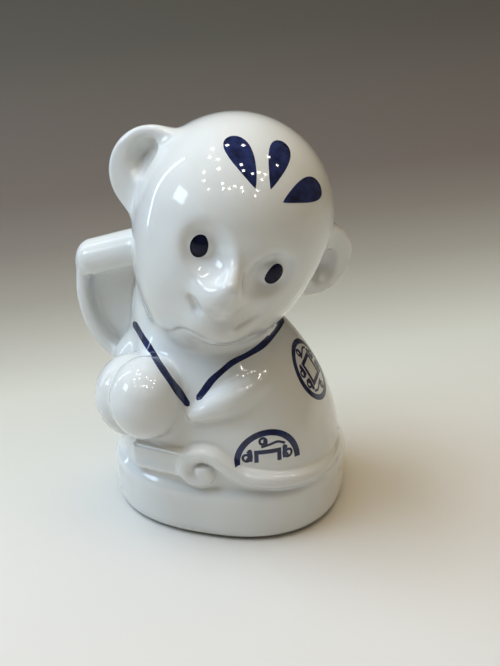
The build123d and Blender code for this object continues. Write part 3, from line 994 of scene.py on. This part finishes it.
def pale_paper():
    """Matt pale paper with painted shade in its colour, darker with the distance behind the figure."""
    material, tree, shader, place = new_material("pale_paper")
    along = {0: place, 1: FALLOFF_DIRECTION}
    slant = add_node(tree, "ShaderNodeVectorMath", along, operation="DOT_PRODUCT")
    span = {"Value": slant.outputs["Value"], "From Min": FALLOFF_START, "From Max": FALLOFF_END}
    falloff = add_node(tree, "ShaderNodeMapRange", span)
    # The ramp paints shade into the floor's colour, darker behind the figure
    shade = colour_ramp(tree, falloff.outputs["Result"], FLOOR_PAINTED_SHADE)
    wire(tree, shader, {"Base Color": shade, "Roughness": FLOOR_ROUGHNESS})
    return material


def floor_sheet():
    """A flat square of paper under the figure."""
    half = FLOOR_SIZE / 2
    corners = [(-half, -half, 0), (half, -half, 0), (half, half, 0), (-half, half, 0)]
    mesh = bpy.data.meshes.new("floor")
    mesh.from_pydata(corners, [], [(0, 1, 2, 3)])
    mesh.materials.append(pale_paper())
    return add_object("floor", mesh)


floor = floor_sheet()


def aim(item, place, target):
    """Puts a camera or a lamp at a place and points it at a target."""
    item.location = place
    item.rotation_euler = (target - place).to_track_quat("-Z", "Y").to_euler()


# Camera at the photograph's viewing angle
CAMERA_EYE = Vector((70.9, -263.8, 189.2)) * MM
CAMERA_AIM = Vector((4.80, 1.20, 44.0)) * MM
CAMERA_LENS, CAMERA_SENSOR, CAMERA_NEAR = 67.3, 36.0, 0.01
camera_data = bpy.data.cameras.new("camera")
camera_data.lens = CAMERA_LENS
camera_data.sensor_width = CAMERA_SENSOR
camera_data.clip_start = CAMERA_NEAR
camera = add_object("camera", camera_data)
aim(camera, CAMERA_EYE, CAMERA_AIM)
bpy.context.scene.camera = camera

# Lamps: name, place, size, power and colour
LAMP_AIM = Vector((0.0, 0.0, 0.05))
DAYLIGHT, WARM, NEUTRAL = (0.62, 0.79, 1.0), (1.0, 0.82, 0.57), (1.0, 0.97, 0.92)
LIGHTING_LAMPS = [
    ("daylight", (-0.50, -0.12, 0.72), (0.7, 0.7), 9.2, DAYLIGHT),
    ("ceiling", (0.05, 0.05, 1.1), (1.2, 1.2), 9.0, WARM),
]
MIRRORED_LAMPS = [
    ("window", (-0.62, -0.38, 0.38), (0.22, 0.18), 0.9, DAYLIGHT),
    ("window_edge", (-0.30, 0.02, 0.16), (0.016, 0.32), 0.11, DAYLIGHT),
]
CEILING_ROWS, CEILING_HEIGHT, CEILING_STRAY = 5, 1.0, 0.09
CEILING_START_X, CEILING_STEP_X, CEILING_START_Y, CEILING_STEP_Y = -0.45, 0.30, -0.95, 0.27
CEILING_LAMP_SIZE, CEILING_LAMP_POWER = (0.05, 0.05), 0.25


def softbox(name, place, size, power, colour, mirrored):
    """A rectangular lamp that faces the figure, and either lights the scene or only shows in the glaze."""
    lamp_data = bpy.data.lights.new(name, "AREA")
    lamp_data.shape = "RECTANGLE"
    lamp_data.size, lamp_data.size_y = size
    lamp_data.energy = power
    lamp_data.color = colour
    lamp = add_object(name, lamp_data)
    lamp.visible_diffuse = not mirrored
    lamp.visible_glossy = mirrored
    lamp.visible_camera = False
    aim(lamp, Vector(place), LAMP_AIM)


def ceiling_lamps():
    """Small lamps in loose rows overhead, which show as spots in the glaze."""
    for row in range(CEILING_ROWS):
        for column in range(CEILING_ROWS):
            x = CEILING_START_X + CEILING_STEP_X * column + CEILING_STRAY * sin(5 * row + 2 * column)
            y = CEILING_START_Y + CEILING_STEP_Y * row + CEILING_STRAY * sin(3 * row + 7 * column)
            place = (x, y, CEILING_HEIGHT)
            softbox("ceiling_lamp", place, CEILING_LAMP_SIZE, CEILING_LAMP_POWER, NEUTRAL, mirrored=True)


for lamp in LIGHTING_LAMPS:
    softbox(*lamp, mirrored=False)
for lamp in MIRRORED_LAMPS:
    softbox(*lamp, mirrored=True)
ceiling_lamps()

# Dim warm light from all round
ROOM_COLOUR, ROOM_STRENGTH = (0.26, 0.23, 0.18, 1), 0.35
world = bpy.data.worlds.new("studio")
world.use_nodes = True
background = world.node_tree.nodes["Background"]
wire(world.node_tree, background, {"Color": ROOM_COLOUR, "Strength": ROOM_STRENGTH})
bpy.context.scene.world = world
bpy.context.scene.view_settings.view_transform = "Standard"
